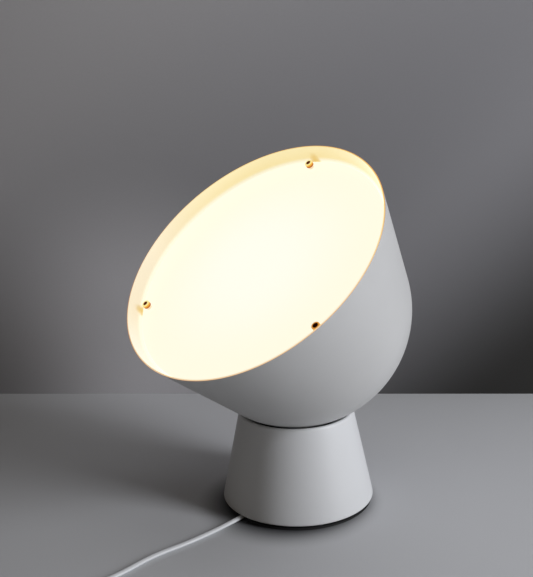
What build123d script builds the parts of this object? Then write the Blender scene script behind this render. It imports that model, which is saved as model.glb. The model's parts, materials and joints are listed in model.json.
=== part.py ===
from build123d import *
import math
import os

# Table lamp: a bell-shaped steel shade that rests like a ball in the dished top of a conical base.
# Millimetres, +Z up, origin on the table under the middle of the base. The shade looks towards -Y.
# The ball seat lets the shade turn about Z and tilt about X, and a sprung clamp inside holds it.

# ---------------------------------------------------------------- driving dimensions: shade
rim_radius = 130.6          # outside radius at the open rim
pivot_to_rim = 84.0         # middle of the dome to the plane of the rim
wall_slope = 12.1           # degrees between the wall and the shade's axis
shade_wall = 1.2
rim_round = 0.4
head_tilt = 43.0            # degrees between the shade's axis and the vertical as stored
tilt_up = 13.0              # travel from the stored tilt, towards upright
tilt_down = 12.0            # travel from the stored tilt, towards the table
pivot_height = 188.8        # middle of the dome above the table

# ---------------------------------------------------------------- driving dimensions: diffuser
diffuser_depth = 15.0       # front face behind the plane of the rim
diffuser_thickness = 3.0
diffuser_edge_gap = 0.9
diffuser_round = 0.6
post_inset = 7.6            # middle of a post to the diffuser's edge
posts = 3
post_turn = 3.7             # degrees of the first post from the top of the rim
post_head_radius = 3.6
post_head_length = 4.2
post_head_round = 0.5
post_neck_radius = 2.5
post_neck_length = 2.5
post_socket_radius = 1.8
post_socket_depth = 3.0
post_thread_radius = 2.0
tab_width = 18.0
tab_thickness = 1.5
tab_foot = 12.0             # how far along the wall a tab's foot runs
tab_reach = 7.0             # how far a tab reaches inside the circle of posts
spacer_radius = 4.5
spacer_height = 3.0
weld_nut_across_flats = 7.0
weld_nut_height = 3.2
weld_nut_turn = 30.0

# ---------------------------------------------------------------- driving dimensions: lampholder, bulb
holder_radius = 19.5
holder_wall = 2.0
holder_from_dome = 21.0     # back of the lampholder to the dome's inner side, along the axis
holder_length = 50.0
holder_collar_radius = 22.5
holder_collar_width = 5.0
holder_collar_from_front = 12.0
holder_round = 2.0
lead_entry_above = 2.0      # side hole to the top of the nipple
lead_entry_gap = 0.3
contact_block_height = 8.0
contact_block_gap = 0.8     # over the lead
contact_thickness = 1.0
contact_width = 6.0
contact_length = 18.0
screw_shell_radius = 14.2
screw_shell_wall = 0.6
screw_shell_from_front = 3.0
screw_shell_flange = 3.0
nipple_radius = 5.0
nipple_bore = 3.6
nipple_behind = 8.0
nipple_inside = 6.0
nipple_nut_across_flats = 14.0
nipple_nut_height = 4.0
strap_width = 26.0
strap_thickness = 2.0
strap_foot = 8.0            # how far along the dome each welded foot of the strap runs
bulb_cap_radius = 13.2
bulb_cap_length = 25.0
bulb_tip_length = 2.5
bulb_tip_radius = 5.0
bulb_point_radius = 3.0
bulb_collar_length = 5.0
bulb_collar_flare = 1.5
bulb_radius = 30.0
bulb_length = 106.0
bulb_glass = 0.9
bulb_neck_angle = 25.0      # below the ball's equator, where the neck runs into the ball
bulb_front_angle = 40.0

# ---------------------------------------------------------------- driving dimensions: base
base_gap = 4.5              # lower edge of the shell above the table
base_foot_radius = 73.5     # outside radius of the shell at its lower edge
base_top_radius = 55.0      # outside radius of the shell at its upper edge
base_wall = 1.5
lip_gap = 1.5               # dished lip to the dome
lip_round = 2.5
foot_round = 1.2
lip_width = 11.0            # upper edge of the shell to the hole in its dish
foot_flange_width = 10.1    # lower edge of the shell to the hole in its flange
plate_thickness = 2.0
pad_width = 11.35           # of the part inside the flange
pad_inset = 2.0             # edge of the rubber lip to the shell's lower edge
pad_screw_gap = 0.3         # under the heads of the plate's screws
plate_screw_radius = 1.5
plate_screw_from_bore = 4.2
plate_screw_turn = 90.0
plate_screw_head_radius = 3.0
plate_screw_head_height = 2.0
plate_screws = 3
ballast_width = 32.6
ballast_height = 16.0
ballast_side_gap = 1.2
ballast_screw_radius = 2.0
ballast_screw_from_bore = 9.0
ballast_screw_head_radius = 3.8
ballast_screw_depth = 8.0
ballast_screw_head_height = 2.4
ballast_hole_spare = 1.0    # thread past the end of the screw
ballast_chamfer = 1.0
pad_chamfer = 0.5
pad_slot_gap = 0.3          # beside the cord's sleeve
bridge_drop = 14.5          # bottom of the dome to the underside of the cross disc with the swivel
bridge_thickness = 2.0
bridge_window_radius = 13.0
bridge_window_circle = 36.0
bridge_windows = 3
bridge_window_turn = 30.0
seat_lap = 3.0              # how far the seat ring laps the dish's edge on either side
seat_flange = 2.0

# ---------------------------------------------------------------- driving dimensions: swivel
stem_radius = 5.0
stem_bore = 3.3
stem_below_bridge = 16.0
bush_hub_radius = 9.0
bush_flange_radius = 13.0
bush_flange = 2.0
collar_radius = 12.0
collar_height = 4.0
stop_tab_reach = 19.0
stop_tab_width = 5.0
stop_pin_radius = 2.0
stop_pin_circle = 17.0
stop_pin_height = 5.5
washer_radius = 10.0
washer_thickness = 2.0
nut_across_flats = 16.0
nut_height = 8.0
saddle_length = 44.0
saddle_width = 28.0
saddle_thickness = 5.0
saddle_boss_radius = 12.0
saddle_boss_height = 3.0
cup_spring_radius = 10.0
cup_spring_thickness = 0.9
cup_spring_rise = 0.7
cup_springs = 4
stem_above_nut = 4.0
end_bush_radius = 6.5
end_bush_height = 4.0
end_bush_grip = 3.0
slot_spare = 0.3            # degrees of slot beyond the travel at each end

# ---------------------------------------------------------------- driving dimensions: cord
cord_width = 5.2
cord_height = 3.2
cord_low = 1.7              # middle of the cord above the table where it lies flat
cord_exit_x = -6.8
cord_exit_y = -64.0
cord_exit_height = 2.2
relief_length = 22.0
relief_floor_gap = 0.2
relief_wide = 3.0           # how much wider than the cord the sleeve is at its inner end
relief_end_wide = 1.2       # and at its outer end
coil_centre = (139.3, -264.5)
lead_hole_y = -24.5         # middle of the hole in the plate that the cord comes up through
lead_hole_length = 24.0
lead_hole_width = 8.0
clamp_y = -8.5
clamp_width = 7.0
clamp_length = 24.0
clamp_thickness = 2.0
clamp_screw_radius = 1.25
clamp_screw_offset = 8.0
clamp_screw_gap = 0.15
clamp_screw_head_radius = 2.4
clamp_screw_head_height = 1.6
clamp_over_cord = 0.15
clamp_foot_reach = 1.2      # how far each foot reaches in past the middle of its screw's side
lead_dip = 7.0              # cord inside the base: level run behind the sleeve
lead_climb = 15.0           # then up through the hole in the plate
lead_turn_y = 2.0           # behind the clamp, where it starts to rise
lead_back_y = 9.0
lead_lift = 8.0
lead_below_stem = 12.0      # straight run up to the foot of the stem
head_lead_rise = 14.0       # slack lead in the shade: straight run out of the stem
head_lead_swing = 20.0      # first bend to the point beside the lampholder
head_lead_crest = 17.0
head_lead_back = 5.0
coil_turn_radius = 30.0     # to the middle of the bundle of turns
coil_air = 0.2              # over the top layer
coil_columns = 3
coil_layers = 3
column_step = 5.6
layer_step = 3.4
tie_width = 9.0
tie_thickness = 0.8
tie_round = 1.6
tail_run = 14.0             # last run of the cord before it joins the coil
tail_rise = 3.2             # its height where that run starts
tie_angle = 200.0

# ---------------------------------------------------------------- driving dimensions: cord switch, plug
switch_start = (33.2, -272.9)
switch_heading = -15.0
switch_length = 62.0
switch_width = 26.0
switch_split = 5.5          # height of the joint between the two halves, and of the cord
switch_height = 15.0
switch_wall = 1.6
switch_corner = 8.0
switch_round = 1.4
rocker_length = 21.6
rocker_width = 11.0
rocker_lean = 7.0           # degrees either side of level
rocker_pivot_height = 9.5
rocker_crown = 5.5          # pivot to the rocker's upper corners
rocker_skirt = 2.6          # pivot to the rocker's underside
rocker_pin_radius = 1.2
rocker_end_gap = 0.2
rocker_post_width = 6.0
rocker_post_from_window = 1.0
switch_contact = (12.0, 3.0, 0.8)
switch_contact_inset = 8.0
switch_contact_offset = 4.0
tail_heading = -12.0
plug_heading = 190.0
plug_lead = 34.0            # cord between the coil and the plug's boot
plug_boot_length = 26.0
plug_boot_radius = 5.2
plug_length = 36.0
plug_width = 26.0
plug_front_width = 17.0
plug_height = 13.8
plug_pin_radius = 2.0
plug_pin_length = 19.0
plug_pin_spacing = 18.6
plug_pin_round = 1.0
plug_neck_width = 16.0
plug_shoulder = 8.0         # along the plug, to its narrower front
plug_flare = 9.0            # from its wide end
plug_corner = 2.0
plug_edge_round = 1.5
plug_boot_wall = 0.7        # round the cord at the boot's thin end
plug_boot_spread = 3.0      # how much wider than high the boot's thick end is

# ---------------------------------------------------------------- clearances
turning_gap = 0.3           # curved faces of pieces that slide on each other
running_gap = 0.05          # radius, a shaft in its bush
thrust_gap = 0.1            # flat faces that turn on each other
fixed_gap = 0.05            # curved faces that are fixed together
passing_gap = 0.4           # a screw or stem through a plain hole or slot

# ---------------------------------------------------------------- worked out from them
slope = math.radians(wall_slope)
dome_radius = (rim_radius - pivot_to_rim * math.tan(slope)) * math.cos(slope)
dome_inside = dome_radius - shade_wall
base_height = pivot_height - math.sqrt((dome_radius + lip_gap) ** 2 - base_top_radius ** 2)
base_slope = math.atan2(base_foot_radius - base_top_radius, base_height - base_gap)
plate_low = base_gap + base_wall
plate_top = plate_low + plate_thickness
lip_radius = dome_radius + lip_gap
lip_bore = base_top_radius - lip_width
foot_flange_bore = base_foot_radius - foot_flange_width
pivot = Pos(0, 0, pivot_height)
head_place = pivot * Rot(head_tilt, 0, 0)
diffuser_front = pivot_to_rim - diffuser_depth
diffuser_back = diffuser_front - diffuser_thickness
holder_back = holder_from_dome - dome_inside
holder_front = holder_back + holder_length
bridge_height = pivot_height - dome_radius - bridge_drop
bush_top = bridge_height + bridge_thickness + bush_flange
stem_foot_height = bridge_height - stem_below_bridge
stem_top = pivot_height - dome_inside + turning_gap + saddle_thickness + saddle_boss_height \
    + cup_springs * (cup_spring_thickness + cup_spring_rise) + nut_height + stem_above_nut
coil_low = tie_thickness + fixed_gap
coil_outer = coil_turn_radius + (coil_columns - 1) / 2 * column_step + cord_width / 2
coil_inner = coil_turn_radius - (coil_columns - 1) / 2 * column_step - cord_width / 2
coil_height = (coil_layers - 1) * layer_step + cord_height + coil_air

UP = (Align.CENTER, Align.CENTER, Align.MIN)
DOWN = (Align.CENTER, Align.CENTER, Align.MAX)


def disc(radius, low, high, bore=0.0):
    """A round slice about Z from one height to another, with a hole of the given radius."""
    body = Pos(0, 0, low) * Cylinder(radius, high - low, align=UP)
    if bore > 0:
        body -= Pos(0, 0, low) * Cylinder(bore, high - low, align=UP)
    return body


def block(x0, x1, y0, y1, z0, z1):
    """A box between two corners."""
    middle = Pos((x0 + x1) / 2, (y0 + y1) / 2, (z0 + z1) / 2)
    return middle * Box(x1 - x0, y1 - y0, z1 - z0)


def turned(*edges):
    """The solid that a closed outline in the XZ plane sweeps about Z."""
    return revolve(make_face(edges), axis=Axis.Z)


def turned_points(points):
    """The same, from the corners of the outline as (radius, height)."""
    corners = [(r, 0, z) for r, z in points]
    return turned(Polyline(*corners, corners[0]))


def hex_nut(across_flats, low, high, bore):
    """A six-sided nut about Z."""
    outline = RegularPolygon(across_flats / 2, 6, major_radius=False)
    return Pos(0, 0, low) * extrude(outline, high - low) - disc(bore, low, high)


def around(radius, count, start=0.0):
    """Places on a circle about Z, each turned to face outwards."""
    return [Rot(0, 0, start + 360 * i / count) * Pos(radius, 0, 0) for i in range(count)]


def screw(head_radius, head_height, shank_radius, shank_length):
    """A pan-head screw pointing up, its head under the plane Z = 0."""
    head = fillet(disc(head_radius, -head_height, 0).edges().group_by(Axis.Z)[0], head_height * 0.4)
    recess = disc(head_radius * 0.35, -head_height, -head_height * 0.5)
    return head + disc(shank_radius, 0, shank_length) - recess


def wall_radius(z, inset=0.0):
    """Radius of the shade's conical wall, set in by the inset, at a height along its axis."""
    return rim_radius - (pivot_to_rim - z) * math.tan(slope) - inset / math.cos(slope)


def bell(inset, front):
    """The space inside the shade's outer surface, set in by the inset, up to a plane in front."""
    radius = dome_radius - inset
    lean = math.pi / 2 - slope
    start = (0, 0, -radius)
    middle = (radius * math.sin(lean / 2), 0, -radius * math.cos(lean / 2))
    end = (radius * math.sin(lean), 0, -radius * math.cos(lean))
    edge = (wall_radius(front, inset), 0, front)
    return turned(
        ThreePointArc(start, middle, end),
        Line(end, edge),
        Line(edge, (0, 0, front)),
        Line((0, 0, front), start),
    )


def shell_between(inner, outer):
    """The space between two balls about the origin."""
    return Sphere(outer) - Sphere(inner)


def base_radius(z, inset=0.0):
    """Radius of the base's conical wall, set in by the inset, at a height above the table."""
    return base_foot_radius - (z - base_gap) * math.tan(base_slope) - inset / math.cos(base_slope)


def cord_path(points):
    """Straight runs joined by arcs, each as large as its two runs allow."""
    corners = [Vector(*p) for p in points]
    radii = []
    for before, at, after in zip(corners, corners[1:], corners[2:]):
        turn = math.radians((at - before).get_angle(after - at))
        run = min((at - before).length, (after - at).length)
        radii.append(0.45 * run / math.tan(turn / 2))
    print("cord radii", [round(r) for r in radii], "mm")
    return FilletPolyline(*points, radius=radii) if radii else Line(*points)


def flat_cord(points):
    """The twin flat cord along a route: two cores side by side in one sheath."""
    path = cord_path(points)
    start = Vector(*points[0])
    ahead = (Vector(*points[1]) - start).normalized()
    across = ahead.cross(Vector(0, 0, 1))
    if across.length < 0.01:
        across = Vector(1, 0, 0)
    plane = Plane(origin=start, x_dir=across, z_dir=ahead)
    tube = sweep(plane * SlotOverall(cord_width, cord_height), path=path)
    section = cord_height * (cord_width - cord_height) + math.pi * (cord_height / 2) ** 2
    print("length", round(path.length), "mm, volume over section times length",
          round(tube.volume / section / path.length, 4))
    return tube


def save(name, shape):
    """One STEP file for one piece of the lamp."""
    whole = shape if isinstance(shape, Compound) else Compound([shape])
    export_step(whole, f"parts/{name}.step")


# ---------------------------------------------------------------- base
cord_route = [
    (cord_exit_x, cord_exit_y, cord_exit_height),
    (-6.8, -92.0, cord_low),
    (-9.0, -134.0, cord_low),
    (-15.8, -170.0, cord_low),
    (-13.2, -204.0, cord_low),
    (-16.0, -228.0, cord_low),
    (-7.8, -250.6, cord_low),
    (10.0, -266.7, 2.4),
    (switch_start[0], switch_start[1], switch_split),
]


def base_shell():
    """Spun steel cone: its upper edge rolls into a dish that follows the dome, its lower edge inwards."""
    height = base_height - base_gap
    cone = Pos(0, 0, base_gap) * Cone(base_foot_radius, base_top_radius, height, align=UP)
    outer = cone - pivot * Sphere(lip_radius)
    rims = outer.edges().filter_by(GeomType.CIRCLE).sort_by(Axis.Z)
    outer = fillet(rims[0], foot_round)
    upper = outer.edges().filter_by(GeomType.CIRCLE).group_by(Axis.Z)[-1]
    outer = fillet(upper, lip_round)
    low, high = base_gap + base_wall, base_height + lip_round
    radii = base_radius(low, base_wall), base_radius(high, base_wall)
    hollow = Pos(0, 0, low) * Cone(*radii, high - low, align=UP)
    hollow -= pivot * Sphere(lip_radius + base_wall)
    shell = outer - hollow
    shell -= disc(lip_bore, base_height / 2, base_height)
    shell -= disc(foot_flange_bore, 0, plate_low)
    for place in plate_screw_places():
        shell -= place * disc(plate_screw_radius + passing_gap / 2, 0, plate_low)
    return shell


def plate_screw_places():
    return around(foot_flange_bore + plate_screw_from_bore, plate_screws, plate_screw_turn)


def ballast_outer():
    return base_radius(plate_top + ballast_height, base_wall) - ballast_side_gap


def ballast_screw_places():
    return around(ballast_outer() - ballast_width + ballast_screw_from_bore, plate_screws)


def bottom_plate():
    """Steel disc that closes the base, with a long hole for the cord."""
    plate = disc(base_radius(plate_top, base_wall) - fixed_gap, plate_low, plate_top)
    for place in plate_screw_places():
        plate -= place * disc(plate_screw_radius, plate_low, plate_top)
    for place in ballast_screw_places():
        plate -= place * disc(ballast_screw_radius + passing_gap / 2, plate_low, plate_top)
    for x in clamp_screw_x():
        plate -= Pos(x, clamp_y, 0) * disc(clamp_screw_radius, plate_low, plate_top)
    return plate - Pos(cord_exit_x, lead_hole_y, plate_low) * extrude(
        Rot(0, 0, 90) * SlotOverall(lead_hole_length, lead_hole_width), plate_thickness)


def clamp_screw_x():
    return (cord_exit_x - clamp_screw_offset, cord_exit_x + clamp_screw_offset)


def plate_screw_set():
    """Three screws hold the plate to the rolled-in flange."""
    one = Pos(0, 0, base_gap) * screw(plate_screw_head_radius, plate_screw_head_height,
                                      plate_screw_radius - fixed_gap, base_wall + plate_thickness)
    return Compound([place * one for place in plate_screw_places()])


def ballast_screw_set():
    """Three screws from below hold the ballast to the plate."""
    length = plate_thickness + ballast_screw_depth
    one = Pos(0, 0, plate_low) * screw(ballast_screw_head_radius, ballast_screw_head_height,
                                       ballast_screw_radius - fixed_gap, length)
    return Compound([place * one for place in ballast_screw_places()])


def ballast():
    """Cast iron ring that keeps the lamp standing when the shade leans out."""
    ring = disc(ballast_outer(), plate_top, plate_top + ballast_height, ballast_outer() - ballast_width)
    ring = chamfer(ring.edges().filter_by(GeomType.CIRCLE).group_by(Axis.Z)[-1], ballast_chamfer)
    hole_top = plate_top + ballast_screw_depth + ballast_hole_spare
    for place in ballast_screw_places():
        ring -= place * disc(ballast_screw_radius, plate_top, hole_top)
    return ring


def foot_pad():
    """Rubber ring under the plate, open at the front for the cord, with a lip that hides the screws."""
    outer = foot_flange_bore - fixed_gap
    lip_top = base_gap - plate_screw_head_height - pad_screw_gap
    ring = disc(base_foot_radius - pad_inset, 0, lip_top, outer - pad_width)
    ring += disc(outer, 0, plate_low, outer - pad_width)
    ring = chamfer(ring.edges().filter_by(GeomType.CIRCLE).group_by(Axis.Z)[0], pad_chamfer)
    slot = cord_width + relief_wide + 2 * pad_slot_gap
    return ring - block(
        cord_exit_x - slot / 2, cord_exit_x + slot / 2, -base_foot_radius, 0, 0, plate_low)


def seat_ring():
    """Nylon slip ring on the edge of the dish, which the dome slides on."""
    under = lip_radius + base_wall + fixed_gap
    neck = disc(lip_bore - fixed_gap, 0, pivot_height, lip_bore - seat_lap)
    flange = disc(lip_bore + seat_lap, 0, pivot_height, lip_bore - seat_lap)
    top = pivot * shell_between(dome_radius + turning_gap, under + seat_flange)
    lower = pivot * shell_between(under, under + seat_flange)
    return (neck & top) + (flange & lower)


def bridge():
    """Pressed disc welded across the base, which carries the swivel."""
    low, high = bridge_height, bridge_height + bridge_thickness
    plate = disc(base_radius(high, base_wall) - fixed_gap, low, high, bush_hub_radius)
    for place in around(bridge_window_circle, bridge_windows, bridge_window_turn):
        plate -= place * disc(bridge_window_radius, low, high)
    return plate - Pos(0, stop_pin_circle, 0) * disc(stop_pin_radius, low, high)


def stop_pin():
    """Pin that the collar's tab meets, so that the cord can't be wound up."""
    low = bridge_height
    pin = disc(stop_pin_radius, low, low + bridge_thickness + stop_pin_height)
    return Pos(0, stop_pin_circle, 0) * pin


def swivel_bush():
    """Nylon bush for the stem, flanged over the bridge."""
    bore = stem_radius + running_gap
    flange = disc(bush_flange_radius, bridge_height + bridge_thickness, bush_top, bore)
    return flange + disc(bush_hub_radius - fixed_gap, bridge_height, bridge_height + bridge_thickness, bore)


def thrust_washer():
    """Nylon washer under the bridge."""
    return disc(bush_flange_radius, bridge_height - bush_flange, bridge_height, stem_radius + 4 * running_gap)


def behind_exit(distance):
    """A point inside the base, straight behind the cord's first run on the table."""
    start = Vector(*cord_route[0])
    back = start - Vector(*cord_route[1])
    return start + back * (distance / back.Y)


def across_cord(point):
    """A plane across the cord inside the base, at a point of it."""
    return Plane(origin=point, x_dir=(1, 0, 0), z_dir=(0, 1, 0))


def relief_sleeve():
    """Tapered sleeve that keeps the cord from bending sharply where it leaves the base."""
    outer_end, inner_end = behind_exit(0), behind_exit(relief_length)
    outer_height = 2 * (outer_end.Z - relief_floor_gap)
    inner_height = 2 * (inner_end.Z - relief_floor_gap)
    body = loft([
        across_cord(outer_end) * SlotOverall(cord_width + relief_end_wide, outer_height),
        across_cord(inner_end) * SlotOverall(cord_width + relief_wide, inner_height),
    ])
    opening = SlotOverall(cord_width + 2 * fixed_gap, cord_height + 2 * fixed_gap)
    return body - loft([across_cord(outer_end) * opening, across_cord(inner_end) * opening])


def lead_start():
    """The part of the cord inside the base: through the sleeve, over the plate, up to the stem."""
    on_plate = plate_top + fixed_gap + cord_height / 2
    under_plate = behind_exit(relief_length + lead_dip)
    return [
        cord_route[0],
        tuple(under_plate),
        (cord_exit_x, under_plate.Y + lead_climb, on_plate),
        (cord_exit_x, lead_turn_y, on_plate),
        (cord_exit_x / 2, lead_back_y, on_plate + lead_lift),
        (0, 0, stem_foot_height - lead_below_stem),
        (0, 0, stem_foot_height - thrust_gap),
    ]


def cord_clamp():
    """Bar across the cord on top of the plate."""
    low = plate_top + cord_height + clamp_over_cord
    bar = block(cord_exit_x - clamp_length / 2, cord_exit_x + clamp_length / 2,
                clamp_y - clamp_width / 2, clamp_y + clamp_width / 2, low, low + clamp_thickness)
    for side in (-1, 1):
        x = cord_exit_x + side * (clamp_screw_offset + clamp_length / 2) / 2
        half = (clamp_length / 2 - clamp_screw_offset) / 2 + clamp_foot_reach
        bar += block(x - half, x + half, clamp_y - clamp_width / 2, clamp_y + clamp_width / 2, plate_top, low)
    hole = disc(clamp_screw_radius + clamp_screw_gap, plate_top, low + clamp_thickness)
    for x in clamp_screw_x():
        bar -= Pos(x, clamp_y, 0) * hole
    return bar


def clamp_screw_set():
    """Two screws through the bar into the plate."""
    top = plate_top + cord_height + clamp_over_cord + clamp_thickness
    one = Pos(0, 0, top) * Rot(180, 0, 0) * screw(
        clamp_screw_head_radius, clamp_screw_head_height, clamp_screw_radius - fixed_gap, top - plate_low)
    return Compound([Pos(x, clamp_y, 0) * one for x in clamp_screw_x()])


def make_base():
    save("base_shell", base_shell())
    save("base_bottom_plate", bottom_plate())
    save("base_plate_screws", plate_screw_set())
    save("ballast_ring", ballast())
    save("ballast_screws", ballast_screw_set())
    save("foot_pad", foot_pad())
    save("seat_ring", seat_ring())
    save("swivel_bridge", bridge())
    save("pan_stop_pin", stop_pin())
    save("swivel_bush", swivel_bush())
    save("swivel_thrust_washer", thrust_washer())
    save("cord_strain_relief", relief_sleeve())
    save("base_lead", flat_cord(lead_start()))
    save("cord_clamp_bar", cord_clamp())
    save("cord_clamp_screws", clamp_screw_set())


# ---------------------------------------------------------------- swivel
def saddle():
    """Curved nylon block inside the dome that the springs press on."""
    outer = dome_inside - turning_gap
    low = pivot_height - outer
    curve = shell_between(outer - saddle_thickness, outer)
    body = pivot * curve & block(-saddle_width / 2, saddle_width / 2,
                                 -saddle_length / 2, saddle_length / 2, low - 1, pivot_height)
    top = low + saddle_thickness + saddle_boss_height
    boss = disc(saddle_boss_radius, low + saddle_thickness / 2, top)
    return body + boss - disc(stem_radius + running_gap, low - 1, top)


def saddle_top():
    return pivot_height - dome_inside + turning_gap + saddle_thickness + saddle_boss_height


def cup_spring_stack():
    """Dished spring washers, one way and the other, so that the clamp keeps its grip."""
    bore = stem_radius + passing_gap / 2
    step = cup_spring_thickness + cup_spring_rise
    stack = []
    for i in range(cup_springs):
        low = saddle_top() + i * step
        if i % 2:
            rises = (0, cup_spring_rise)
        else:
            rises = (cup_spring_rise, 0)
        stack.append(turned_points([
            (bore, low + rises[0]),
            (cup_spring_radius, low + rises[1]),
            (cup_spring_radius, low + rises[1] + cup_spring_thickness),
            (bore, low + rises[0] + cup_spring_thickness),
        ]))
    return Compound(stack)


def make_swivel():
    save("swivel_stem", disc(stem_radius, stem_foot_height, stem_top, stem_bore))
    low = bush_top + thrust_gap
    collar = disc(collar_radius, low, low + collar_height)
    collar += block(-stop_tab_width / 2, stop_tab_width / 2, -stop_tab_reach, 0, low, low + collar_height)
    save("pan_stop_collar", collar - disc(stem_radius + fixed_gap, low, low + collar_height))
    high = bridge_height - bush_flange - thrust_gap
    save("swivel_spring_washer", disc(washer_radius, high - washer_thickness, high, stem_radius + fixed_gap))
    high -= washer_thickness
    save("swivel_lock_nut", hex_nut(nut_across_flats, high - nut_height, high, stem_radius + fixed_gap))
    save("clamp_saddle", saddle())
    save("clamp_cup_springs", cup_spring_stack())
    low = saddle_top() + cup_springs * (cup_spring_thickness + cup_spring_rise)
    save("clamp_nut", hex_nut(nut_across_flats, low, low + nut_height, stem_radius + fixed_gap))
    bush = disc(end_bush_radius, stem_top - end_bush_grip, stem_top + end_bush_height)
    bush -= disc(stem_radius + fixed_gap, stem_top - end_bush_grip, stem_top)
    bush -= disc(stem_bore, stem_top, stem_top + end_bush_height)
    save("stem_end_bush", bush)
    inner = Pos(0, 0, stem_foot_height) * extrude(
        SlotOverall(cord_width, cord_height), stem_top + end_bush_height - stem_foot_height)
    save("stem_lead", inner)


# ---------------------------------------------------------------- shade and what it carries
def slot_cutter():
    """The slot in the dome that the stem passes through as the shade tilts."""
    half = stem_radius + passing_gap
    first = head_tilt - tilt_up - slot_spare
    last = head_tilt + tilt_down + slot_spare
    inner, outer = dome_inside - shade_wall, dome_radius + shade_wall
    reach = Pos(0, 0, -inner) * Cylinder(half, outer - inner, align=DOWN)
    corners = [(-half, 0, -inner), (half, 0, -inner), (half, 0, -outer), (-half, 0, -outer)]
    band = revolve(
        make_face(Polyline(*corners, corners[0])), axis=Axis.X, revolution_arc=last - first)
    return Rot(-last, 0, 0) * (band + reach) + Rot(-first, 0, 0) * reach


def shade():
    """Deep-drawn steel bell."""
    outer = bell(0, pivot_to_rim)
    edge = outer.edges().filter_by(GeomType.CIRCLE).group_by(Axis.Z)[-1]
    outer = fillet(edge, rim_round)
    return outer - bell(shade_wall, pivot_to_rim + 1) - slot_cutter()


def diffuser_radius():
    return wall_radius(diffuser_back, shade_wall) - diffuser_edge_gap


def post_circle():
    return diffuser_radius() - post_inset


def post_places():
    return around(post_circle(), posts, 90 + post_turn)


def diffuser():
    """Opal acrylic disc, set back inside the rim."""
    plate = disc(diffuser_radius(), diffuser_back, diffuser_front)
    plate = fillet(plate.edges().filter_by(GeomType.CIRCLE).group_by(Axis.Z)[-1], diffuser_round)
    for place in post_places():
        plate -= place * disc(post_thread_radius + passing_gap, diffuser_back, diffuser_front)
    return plate


def tab():
    """Steel tab welded to the wall behind the diffuser, with a foot that lies on the wall."""
    top = diffuser_back - spacer_height
    low = top - tab_thickness
    past_wall = rim_radius - post_circle()
    plate = block(-tab_reach, past_wall, -tab_width / 2, tab_width / 2, low, top)
    foot = block(0, past_wall, -tab_width / 2, tab_width / 2, low - tab_foot, top)
    room = Pos(-post_circle(), 0, 0) * bell(shade_wall + fixed_gap, pivot_to_rim)
    inside = Pos(-post_circle(), 0, 0) * bell(shade_wall + fixed_gap + tab_thickness, pivot_to_rim)
    return (plate & room) + ((foot & room) - inside) - disc(post_thread_radius + fixed_gap, low, top)


def post():
    """Round-headed nut and stud: a white turned head, a thin neck, and the thread behind the diffuser."""
    neck_top = diffuser_front + post_neck_length
    head_top = neck_top + post_head_length
    low = diffuser_back - spacer_height - tab_thickness - weld_nut_height
    head = disc(post_head_radius, neck_top, head_top)
    head = fillet(head.edges().filter_by(GeomType.CIRCLE), post_head_round)
    body = head + disc(post_neck_radius, diffuser_front, neck_top)
    body += disc(post_thread_radius, low, diffuser_front)
    return body - disc(post_socket_radius, head_top - post_socket_depth, head_top)


def make_shade():
    save("shade_shell", head_place * shade())
    save("diffuser", head_place * diffuser())
    tab_top = diffuser_back - spacer_height
    nut_top = tab_top - tab_thickness
    spacer = disc(spacer_radius, tab_top, diffuser_back, post_thread_radius + fixed_gap)
    nut = hex_nut(weld_nut_across_flats, nut_top - weld_nut_height, nut_top, post_thread_radius + fixed_gap)
    for i, place in enumerate(post_places(), 1):
        save(f"diffuser_tab_{i}", head_place * place * tab())
        save(f"diffuser_post_{i}", head_place * place * post())
    save("diffuser_spacers", head_place * Compound([place * spacer for place in post_places()]))
    nuts = [place * Rot(0, 0, weld_nut_turn) * nut for place in post_places()]
    save("diffuser_weld_nuts", head_place * Compound(nuts))


def strap():
    """Steel strap welded across the bottom of the dome, which carries the lampholder."""
    high = holder_back
    low = high - strap_thickness
    room = bell(shade_wall + fixed_gap, pivot_to_rim)
    inner = bell(shade_wall + fixed_gap + strap_thickness, pivot_to_rim)
    half = strap_width / 2
    bar = block(-dome_radius, dome_radius, -half, half, low, high) & room
    feet = block(-dome_radius, dome_radius, -half, half, low, high + strap_foot) & room - inner
    return bar + feet - disc(nipple_radius + passing_gap / 2, low, high)


def holder_shell():
    """Moulded lampholder body: a cup with a closed back and a side hole for the lead."""
    cup = disc(holder_radius, holder_back, holder_front)
    cup = fillet(cup.edges().filter_by(GeomType.CIRCLE).group_by(Axis.Z)[0], holder_round)
    cup -= disc(holder_radius - holder_wall, holder_back + holder_wall, holder_front)
    cup -= disc(nipple_radius + fixed_gap, holder_back, holder_back + holder_wall)
    lead_hole = Pos(0, 0, lead_entry_height()) * Rot(0, 90, 0) * Cylinder(
        cord_width / 2 + lead_entry_gap, 2 * holder_radius, align=UP)
    return cup - lead_hole


def lead_entry_height():
    return holder_back + nipple_inside + cord_width / 2 + lead_entry_above


def contact_block_low():
    return lead_entry_height() + cord_width / 2 + contact_block_gap


def holder_collar():
    """Ring screwed on the lampholder."""
    low = holder_front - holder_collar_from_front
    return disc(holder_collar_radius, low, low + holder_collar_width, holder_radius + fixed_gap)


def nipple():
    """Hollow thread through the strap, with a nut behind it."""
    low, high = holder_back - nipple_behind, holder_back + nipple_inside
    return disc(nipple_radius, low, high, nipple_bore)


def bulb_seat():
    """Where the bulb's contact tip rests."""
    return contact_block_low() + contact_block_height


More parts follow.
